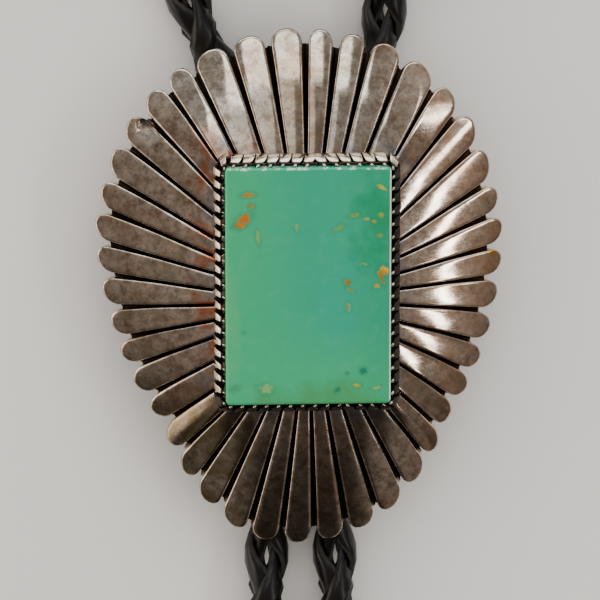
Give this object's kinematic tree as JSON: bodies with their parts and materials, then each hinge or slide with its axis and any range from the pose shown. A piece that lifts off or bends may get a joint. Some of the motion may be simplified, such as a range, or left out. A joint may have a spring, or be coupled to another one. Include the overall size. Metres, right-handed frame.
{
  "type": "bolo tie",
  "caption": "Bolo tie lying face up: domed silver sunburst slide with a flat green turquoise in a serrated bezel, on a braided leather cord with silver tips.",
  "frame": {"origin": "on the surface that the tie lies on, under the middle of the silver slide", "axes": "+Z out of the slide's face, +Y up the slide towards the neck loop, +X to the viewer's right"},
  "size_m": [0.0494, 0.2304, 0.0142],
  "materials": {
    "silver": "worn, oxidised silver with dark grooves",
    "tip_silver": "satin silver",
    "turquoise": "polished green turquoise with ochre matrix",
    "cord_leather": "glossy black braided lace",
    "tie_leather": "matt black strip"
  },
  "bodies": {
    "root": {"sunburst_slide": "silver", "turquoise_stone": "turquoise", "cord_left": "cord_leather", "cord_right": "cord_leather", "cord_neck_hank": "cord_leather", "hank_tie": "tie_leather", "tip_left": "tip_silver", "tip_right": "tip_silver"}
  },
  "joints": []
}
